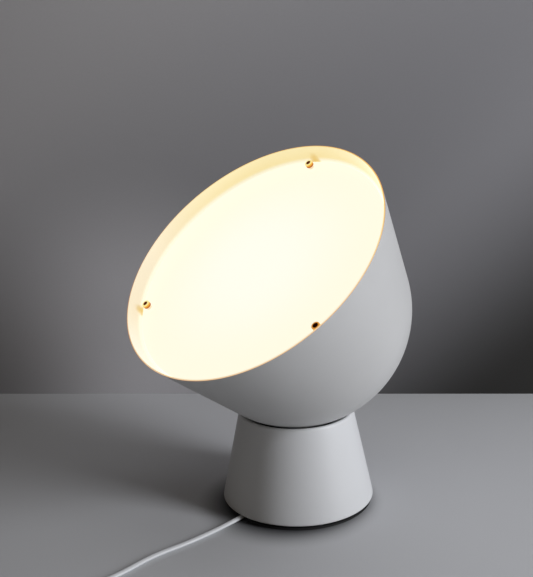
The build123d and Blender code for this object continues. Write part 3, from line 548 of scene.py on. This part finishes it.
# %% Opal acrylic
def opal_acrylic():
    """The disc's plastic, which gives its own light, evenly but for a warmer edge."""
    material, tree = new_material("opal_acrylic_lit")
    rim = add(tree, "ShaderNodeMapRange", [from_shade_axis(tree), mm(20), mm(118)], **smooth)
    cloud = add(tree, "ShaderNodeTexNoise", {"Vector": shade_place(tree), "Scale": 1 / mm(60)})
    warm = add(tree, "ShaderNodeMix", [cloud, "FFFBE4", "FEFAE2"], **in_colour)
    shader = add(tree, "ShaderNodeBsdfPrincipled", {
        "Base Color": add(tree, "ShaderNodeMix", [cloud, "302E2A", "32302B"], **in_colour),
        "Roughness": 0.35,
        "Emission Color": add(tree, "ShaderNodeMix", [rim, "FFFDEE", warm], **in_colour),
        "Emission Strength": 1.0})
    add(tree, "ShaderNodeOutputMaterial", {"Surface": shader})
    return material


opal = opal_acrylic()
paint(["diffuser"], opal)
print("disc painted with", opal.name)

# %% [markdown]
# ## The posts
# Each post is a small white moulding that holds the disc. Its colours are painted light and shade: its
# end is painted pale as lit, its side is painted amber as lit from behind through the plastic and
# darker at its foot as painted shade, and its socket is painted dark a little past its real edge. The
# lower post's end and socket are painted darker still, as its own shade. Below the head the stem is
# painted with a pale glow.


# %% Post plastic
head_foot = 71.5
head_end = 75.7
socket_radius = 1.8


def post_plastic():
    """White moulding with painted light and shade: a pale lit end, an amber side darker at its foot, and a socket
    painted dark past its edge.
    """
    material, tree = new_material("white_moulding_posts_painted_light_and_shade")
    across, _, out = shade_parts(tree)
    foot = add(tree, "ShaderNodeMapRange", [out, mm(head_foot - 0.1), mm(head_foot + 0.5)], **smooth)
    height = add(tree, "ShaderNodeMapRange", [out, mm(head_foot + 0.9), mm(head_foot + 2.7)], **smooth)
    end = add(tree, "ShaderNodeMapRange", [out, mm(head_end - 0.9), mm(head_end - 0.2)], **smooth)
    # The lower post is painted with more shade on its end and socket.
    low_post = add(tree, "ShaderNodeMapRange", [across, mm(40), mm(60)], **smooth)
    # The dark of the socket is painted past the real socket's edge, farther on the lower post.
    wider = add(tree, "ShaderNodeMapRange", [low_post, 0, 1, mm(0.3), mm(0.5)], **smooth)
    seen = add(tree, "ShaderNodeMath", [from_post_axis(tree), wider], operation="SUBTRACT")
    socket = add(
        tree, "ShaderNodeMapRange", [seen, mm(socket_radius - 0.1), mm(socket_radius + 0.2)], **smooth)
    # Painted shade in the socket: dark red-brown, near black on the lower post.
    painted_socket_shade = add(tree, "ShaderNodeMix", [low_post, "5A0800", "1C0400"], **in_colour)
    # Painted amber on the side: light through the plastic, darker at its foot as painted shade.
    side_light = add(tree, "ShaderNodeMix", [height, "B44A00", "F8BC48"], **in_colour)
    # Painted light on the end: pale yellow, orange-brown on the lower post.
    end_light = add(tree, "ShaderNodeMix", [low_post, "FFF0A0", "D07C1C"], **in_colour)
    face = add(tree, "ShaderNodeMix", [end, side_light, end_light], **in_colour)
    head = add(tree, "ShaderNodeMix", [socket, painted_socket_shade, face], **in_colour)
    # The base colour is painted brown low on the head as painted shade; the real moulding is white.
    plastic = add(tree, "ShaderNodeMix", [end, "7A4410", "C8AC68"], **in_colour)
    fine = add(tree, "ShaderNodeTexNoise", {"Vector": shade_place(tree), "Scale": 1 / mm(0.8)})
    # The emission paints the light on the post: a pale glow below the head, and the head's colours above.
    shader = add(tree, "ShaderNodeBsdfPrincipled", {
        "Base Color": add(tree, "ShaderNodeMix", [socket, "0A0200", plastic], **in_colour),
        "Roughness": 0.5,
        "Specular IOR Level": 0.2,
        "Emission Color": add(tree, "ShaderNodeMix", [foot, "FFF2C8", head], **in_colour),
        "Emission Strength": 0.8,
        "Normal": add(tree, "ShaderNodeBump", {"Height": fine, "Strength": 0.3, "Distance": mm(0.02)})})
    add(tree, "ShaderNodeOutputMaterial", {"Surface": shader})
    return material


paint([f"diffuser_post_{i}" for i in (1, 2, 3)], post_plastic())
print("posts painted")

# %% [markdown]
# ## Plain materials
# The pieces out of sight, the foot and what is on the cord: zinc-plated steel, cast iron, rubber,
# nylon, brass, nickel, glass and white mouldings. Each starts from the real material's roughness
# and gets the fine texture of how its surface was made.


# %% Plain materials
def plain(name, pale, deep, roughness, grain_mm, depth_mm, metallic=0.0):
    """A material of two near colours, mixed by a fine noise that also gives the relief."""
    material, tree = new_material(name)
    here = add(tree, "ShaderNodeTexCoord").outputs["Object"]
    fine = add(tree, "ShaderNodeTexNoise", {"Vector": here, "Scale": 1 / mm(grain_mm), "Detail": 3})
    relief = add(tree, "ShaderNodeBump", {"Height": fine, "Strength": 0.4, "Distance": mm(depth_mm)})
    shader = add(tree, "ShaderNodeBsdfPrincipled", {
        "Base Color": add(tree, "ShaderNodeMix", [fine, pale, deep], **in_colour),
        "Roughness": roughness,
        "Metallic": metallic,
        "Normal": relief})
    add(tree, "ShaderNodeOutputMaterial", {"Surface": shader})
    return material


plain_finishes = {
    "zinc_steel": plain("bright_zinc_on_steel", "C9CBCC", "B4B7BA", 0.32, 2.0, 0.01, metallic=1.0),
    "cast_iron": plain("cast_iron", "3A3A3C", "2A2A2B", 0.75, 1.2, 0.08, metallic=0.4),
    "pad_rubber": plain("black_rubber", "191919", "131313", 0.82, 0.7, 0.04),
    "nylon_black": plain("black_nylon", "1B1B1C", "151516", 0.5, 0.9, 0.02),
    "cord_sheath": plain("grey_white_pvc_sheath", "E8EAEC", "E2E4E7", 0.38, 1.5, 0.01),
    "cord_tie_white": plain("white_polythene_band", "E4E4E2", "DEDEDC", 0.45, 1.0, 0.01),
    "moulding_white": plain("white_moulding", "E6E6E4", "E0E0DF", 0.38, 0.6, 0.015),
    "rocker_white": plain("polished_white_moulding", "EBEBE9", "E6E6E5", 0.2, 0.8, 0.005),
    "brass": plain("brass_strip", "C8A45A", "BE9850", 0.3, 1.5, 0.01, metallic=1.0),
    "nickel": plain("nickel_plate", "D2CFC9", "C6C3BE", 0.2, 2.0, 0.005, metallic=1.0),
    "bulb_plastic": plain("white_bulb_collar", "E8E7E2", "E2E1DC", 0.45, 1.0, 0.01),
}
for entry in frame["record"]["subparts"]:
    if entry["material_slot"] in plain_finishes:
        paint([entry["node"]], plain_finishes[entry["material_slot"]])
print("plain finishes", len(plain_finishes))

# %% [markdown]
# ## The bulb
# The bulb behind the disc is a ball of opal glass over a ring of small lights, and its white coating
# scatters them so well that the ball looks evenly lit. Its shape in the engineering model is good
# enough, so it only gets the glass: smooth, faintly clouded, and giving its own warm light.


# %% Opal glass of the bulb
def opal_glass():
    """White coated glass that is lit from inside."""
    material, tree = new_material("opal_bulb_glass_lit")
    here = add(tree, "ShaderNodeTexCoord").outputs["Object"]
    cloud = add(tree, "ShaderNodeTexNoise", {"Vector": here, "Scale": 1 / mm(20)})
    shader = add(tree, "ShaderNodeBsdfPrincipled", {
        "Base Color": add(tree, "ShaderNodeMix", [cloud, "E8E4D8", "E6E1D4"], **in_colour),
        "Roughness": 0.25,
        "Emission Color": add(tree, "ShaderNodeMix", [cloud, "FFF2D2", "FFEFCB"], **in_colour),
        "Emission Strength": 1.0})
    add(tree, "ShaderNodeOutputMaterial", {"Surface": shader})
    return material


paint(["bulb_globe"], opal_glass())
print("bulb painted")

# %% [markdown]
# ## The mains cord
# The lead is a flat twin cord, 5.2 mm wide and 3.2 mm high, and about 1.8 m long. It leaves the base
# under its front edge, wanders over the table to a switch, and the rest of it is wound into a flat
# coil with the plug beside it. One NURBS spline follows the whole route, and the coil's turns are
# more points of the same spline: three layers of turns beside and on each other, each turn
# changing to the next place over its last few degrees.

# %% Cord route
height_on_table = 1.7
height_in_switch = 5.5
cord_width = 5.2
cord_height = 3.2
cord_route = [
    (-6.8, -64.0, 2.2),
    (-6.8, -92.0, height_on_table),
    (-9.0, -134.0, height_on_table),
    (-15.8, -170.0, height_on_table),
    (-13.2, -204.0, height_on_table),
    (-16.0, -228.0, height_on_table),
    (-7.8, -250.6, height_on_table),
    (10.0, -266.7, 2.4),
    (33.2, -272.9, height_in_switch),
    (63.1, -280.9, height_in_switch),
    (93.1, -288.9, height_in_switch),
]
print("cord leaves the base at", cord_route[0], "and the switch at", cord_route[-1])

# %% Coil
coil_centre = Vector((139.3, -264.5))
coil_turn_radius = 30.0
column_step = 5.6
layer_step = 3.4
lowest_turn = 2.55
tail_heading = math.radians(-12.0)
plug_heading = math.radians(190.0)
points_per_turn = 16
turn_places = [(1, 0), (0, 0), (-1, 0), (-1, 1), (0, 1), (1, 1), (0, 2), (1, 2)]
turn_change = 0.12


def turn_place(turns):
    """Column and layer of the winding after a number of turns."""
    whole = min(int(turns), len(turn_places) - 1)
    here = Vector(turn_places[whole])
    after = Vector(turn_places[min(whole + 1, len(turn_places) - 1)])
    share = max(0.0, (turns - whole - 1 + turn_change) / turn_change)
    return here.lerp(after, min(share, 1.0))


def coil_points():
    """Points of the winding, anticlockwise, from where the cord joins it to where it leaves."""
    first = tail_heading - math.pi / 2
    whole = (plug_heading - math.pi / 2 - first) / (2 * math.pi) + len(turn_places) - 1
    count = round(whole * points_per_turn)
    inside = math.cos(math.pi / points_per_turn) ** 0.5
    made = []
    for i in range(count + 1):
        turns = whole * i / count
        column, layer = turn_place(turns)
        radius = (coil_turn_radius + column * column_step) / inside
        angle = first + turns * 2 * math.pi
        made.append((coil_centre.x + radius * math.cos(angle), coil_centre.y + radius * math.sin(angle),
                     lowest_turn + layer * layer_step))
    return made


turns = coil_points()
print("coil", len(turns), "points")

# %% Ways into and out of the coil
plug_lead = 34.0
boot_height = 6.9
lead_in = Vector((14.0, 0.65))
joined = Vector(turns[0])
ahead = Vector((math.cos(tail_heading), math.sin(tail_heading), 0))
cord_route.append(tuple(joined - ahead * lead_in.x + Vector((0, 0, lead_in.y))))
cord_route += turns
away = Vector((math.cos(plug_heading), math.sin(plug_heading), 0))
plug_entry = Vector(turns[-1]) + away * plug_lead
plug_entry.z = boot_height
cord_route.append(tuple(plug_entry))
print("cord control points", len(cord_route))

# %% [markdown]
# A curve object with an oval section makes the tube. It is turned into a mesh at once, so that the
# cord is one closed skin, and the bare curve gives the middle line of the cord beside it.


# %% Curves
def spline_object(name, points):
    """A curve of one NURBS spline of order 3 through millimetre control points."""
    curve = bpy.data.curves.new(name, "CURVE")
    curve.dimensions = "3D"
    curve.resolution_u = 4
    curve.twist_mode = "Z_UP"
    spline = curve.splines.new("NURBS")
    spline.points.add(len(points) - 1)
    for point, place in zip(spline.points, points):
        point.co = (mm(place[0]), mm(place[1]), mm(place[2]), 1.0)
    spline.order_u = 3
    spline.use_endpoint_u = True
    thing = bpy.data.objects.new(name, curve)
    bpy.context.scene.collection.objects.link(thing)
    return thing


def oval_profile(name, width, height):
    """A closed oval curve, which a tube takes as its section."""
    curve = bpy.data.curves.new(name, "CURVE")
    curve.dimensions = "2D"
    curve.resolution_u = 3
    spline = curve.splines.new("BEZIER")
    half, end, top = (width - height) / 2, width / 2, height / 2
    places = [(-half, top), (half, top), (end, 0), (half, -top), (-half, -top), (-end, 0)]
    spline.bezier_points.add(len(places) - 1)
    for point, (x, y) in zip(spline.bezier_points, places):
        point.co = (mm(x), mm(y), 0)
        point.handle_left_type = "AUTO"
        point.handle_right_type = "AUTO"
    spline.use_cyclic_u = True
    thing = bpy.data.objects.new(name, curve)
    bpy.context.scene.collection.objects.link(thing)
    return thing


def evaluated_mesh(thing):
    """The mesh that a curve object gives at this moment."""
    bpy.context.view_layer.update()
    seen = thing.evaluated_get(bpy.context.evaluated_depsgraph_get())
    return bpy.data.meshes.new_from_object(seen)


route = spline_object("cord_route", cord_route)
print("cord curve", len(route.data.splines[0].points), "points")

# %% Cord mesh
line = evaluated_mesh(route)
section = oval_profile("cord_section", cord_width, cord_height)
route.data.bevel_mode = "OBJECT"
route.data.bevel_object = section
route.data.use_fill_caps = True
tube = evaluated_mesh(route)
bpy.data.objects.remove(route)
bpy.data.objects.remove(section)
cord_edit = bmesh.new()
cord_edit.from_mesh(tube)
cord = finish_piece("mains_cord", cord_edit, "base", [plain_finishes["cord_sheath"]])

# %% Cord and what is on it
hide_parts("power_cord", "power_cord_tail", "power_cord_coil", "power_cord_plug_end")

# %% [markdown]
# ## The table and the wall
# The lamp stands on a pale table in front of a grey wall. The wall shows from its front only, so that
# it never hides the lamp from behind. Far from the lamp both run into a plain grey backdrop.

# %% Surfaces of the room
backdrop = "77777A"
room_fades = (0.8, 1.7)


def seen_directly(tree):
    """1 for the rays that show the room itself, in the picture or in a shiny piece."""
    path = add(tree, "ShaderNodeLightPath").outputs
    shiny = add(
        tree, "ShaderNodeMath", [path["Is Glossy Ray"], path["Is Transmission Ray"]],
        operation="MAXIMUM")
    return add(tree, "ShaderNodeMath", [path["Is Camera Ray"], shiny], operation="MAXIMUM")


def matt(name, make_colour):
    """A matt surface whose colour a function makes in its tree, lost in the backdrop far away."""
    material, tree = new_material(name)
    shader = add(tree, "ShaderNodeBsdfPrincipled", {"Base Color": make_colour(tree), "Roughness": 0.7})
    here = add(tree, "ShaderNodeTexCoord").outputs["Object"]
    reach = add(tree, "ShaderNodeVectorMath", [here], operation="LENGTH")
    gone = add(tree, "ShaderNodeMapRange", [reach, *room_fades], **smooth)
    far = add(tree, "ShaderNodeMath", [gone, seen_directly(tree)], operation="MULTIPLY")
    plain_light = add(tree, "ShaderNodeEmission", {"Color": backdrop, "Strength": 1.0})
    surface = add(tree, "ShaderNodeMixShader", [far, shader, plain_light])
    return material, tree, surface


def stage_plane(name, size, place, material):
    """A flat square of the stage, which isn't part of the lamp."""
    edit = bmesh.new()
    bmesh.ops.create_grid(edit, x_segments=1, y_segments=1, size=size)
    mesh = bpy.data.meshes.new(name)
    edit.to_mesh(mesh)
    edit.free()
    mesh.materials.append(material)
    plane = bpy.data.objects.new(name, mesh)
    plane.matrix_world = place
    bpy.context.scene.collection.objects.link(plane)
    return plane


print("far away the room is", backdrop)

# %% Table
table_reach = 6.0
shadow_middle = (0, -0.014, 0)
shadow_ends = (0.0524, 0.0944)


def table_colour(tree):
    """Pale laminate, and a soft dark ring in front of the foot, where the lamp shuts out the light."""
    here = add(tree, "ShaderNodeTexCoord").outputs["Object"]
    fine = add(tree, "ShaderNodeTexNoise", {"Vector": here, "Scale": 1 / mm(1.5)})
    laminate = add(tree, "ShaderNodeMix", [fine, "CFD0D2", "C9CACD"], **in_colour)
    from_foot = add(tree, "ShaderNodeVectorMath", [here, shadow_middle], operation="DISTANCE")
    in_light = add(tree, "ShaderNodeMapRange", [from_foot, *shadow_ends], **smooth)
    return add(tree, "ShaderNodeMix", [in_light, "16181C", laminate], **in_colour)


table_paint, tree, shader = matt("pale_table", table_colour)
add(tree, "ShaderNodeOutputMaterial", {"Surface": shader})
stage_plane("table", table_reach, Matrix.Identity(4), table_paint)
print("table", table_paint.name)

# %% Wall
wall_left = Vector((-0.524, -0.0416, 0))
wall_right = Vector((0.0404, 0.4168, 0))
wall_reach = 4.0
behind_lamp = (-0.17, 0.09, 0)


def wall_colour(tree):
    """Grey plaster with painted light and shade: a painted pool of light behind the lamp, painted lighter to the
    left, and a painted shadow low down on the right.
    """
    here = add(tree, "ShaderNodeTexCoord").outputs["Object"]
    across, back, _ = add(tree, "ShaderNodeSeparateXYZ", [here]).outputs
    leaned = add(tree, "ShaderNodeMath", [across, 0.9], operation="MULTIPLY")
    slope = add(tree, "ShaderNodeMath", [back, leaned], operation="SUBTRACT")
    # Painted light: the plaster is painted lighter to the left.
    left = add(tree, "ShaderNodeMapRange", [slope, 0.1, 0.8], **smooth)
    plaster = add(tree, "ShaderNodeMix", [left, "8A898C", "C0BEC0"], **in_colour)
    from_lamp = add(tree, "ShaderNodeVectorMath", [here, behind_lamp], operation="DISTANCE")
    # Painted pool of light on the wall behind the lamp.
    painted_light_near_lamp = add(tree, "ShaderNodeMapRange", [from_lamp, 0.05, 0.24, 0.9, 0], **smooth)
    lit = add(tree, "ShaderNodeMix", [painted_light_near_lamp, plaster, "D2D0D3"], **in_colour)
    # Painted shadow, 16140F, low down on the right, clear of it farther right.
    past_corner = add(tree, "ShaderNodeMapRange", [slope, -0.28, 0.06], **smooth)
    far_right = add(tree, "ShaderNodeMapRange", [across, 0.4, 0.8], **smooth)
    in_light = add(tree, "ShaderNodeMath", [past_corner, far_right], operation="MAXIMUM")
    wall = add(tree, "ShaderNodeMix", [in_light, "16140F", lit], **in_colour)
    fine = add(tree, "ShaderNodeTexNoise", {"Vector": here, "Scale": 1 / mm(2.5), "Detail": 4})
    speckle = add(tree, "ShaderNodeMath", [fine, 0.1], operation="MULTIPLY")
    return add(tree, "ShaderNodeMix", [speckle, wall, "5A595A"], **in_colour)


wall_paint, tree, shader = matt("grey_wall", wall_colour)
clear = add(tree, "ShaderNodeBsdfTransparent")
back = add(tree, "ShaderNodeNewGeometry").outputs["Backfacing"]
one_sided = add(tree, "ShaderNodeMixShader", [back, shader, clear])
add(tree, "ShaderNodeOutputMaterial", {"Surface": one_sided})
along = (wall_right - wall_left).normalized()
out = Vector((along.y, -along.x, 0))
wall_turn = Matrix((along, Vector((0, 0, 1)), out)).transposed().to_4x4()
wall_middle = (wall_left + wall_right) / 2
stage_plane("wall", wall_reach, Matrix.Translation(wall_middle) @ wall_turn, wall_paint)
print("wall", round(-out.dot(wall_left), 3), "m behind the lamp")

# %% [markdown]
# ## The light
# One large soft lamp stands to the right, as a window would, a weak one hangs overhead, and the room
# gives a low warm light from all sides. What shows of the room itself is the plain grey backdrop.


# %% Lamps of the room
def area_light(name, place, target, size, power, hex_value):
    """A flat soft lamp that is turned towards a point; its power is in watts."""
    light = bpy.data.lights.new(name, "AREA")
    light.shape = "RECTANGLE"
    light.size, light.size_y = size
    light.energy = power
    light.color = colour(hex_value)[:3]
    thing = bpy.data.objects.new(name, light)
    thing.location = place
    aim = (Vector(target) - Vector(place)).to_track_quat("-Z", "Y")
    thing.rotation_euler = aim.to_euler()
    bpy.context.scene.collection.objects.link(thing)
    return thing


aimed_at = (0, 0, 0.15)
area_light("window", (1.62, 0.486, 0.77), aimed_at, (0.5, 0.9), 23.8, "F8FAFF")
area_light("ceiling", (0.15, 0.15, 1.6), aimed_at, (1.2, 1.2), 3.0, "FAFCFF")

# %% Room light
world = bpy.data.worlds.new("room")
world.use_nodes = True
room = world.node_tree
room.nodes.clear()
low_light = add(room, "ShaderNodeBackground", {"Color": "E8C474", "Strength": 0.045})
plain_back = add(room, "ShaderNodeBackground", {"Color": backdrop, "Strength": 1.0})
both = add(room, "ShaderNodeMixShader", [seen_directly(room), low_light, plain_back])
add(room, "ShaderNodeOutputWorld", {"Surface": both})
bpy.context.scene.world = world
print("world", world.name)
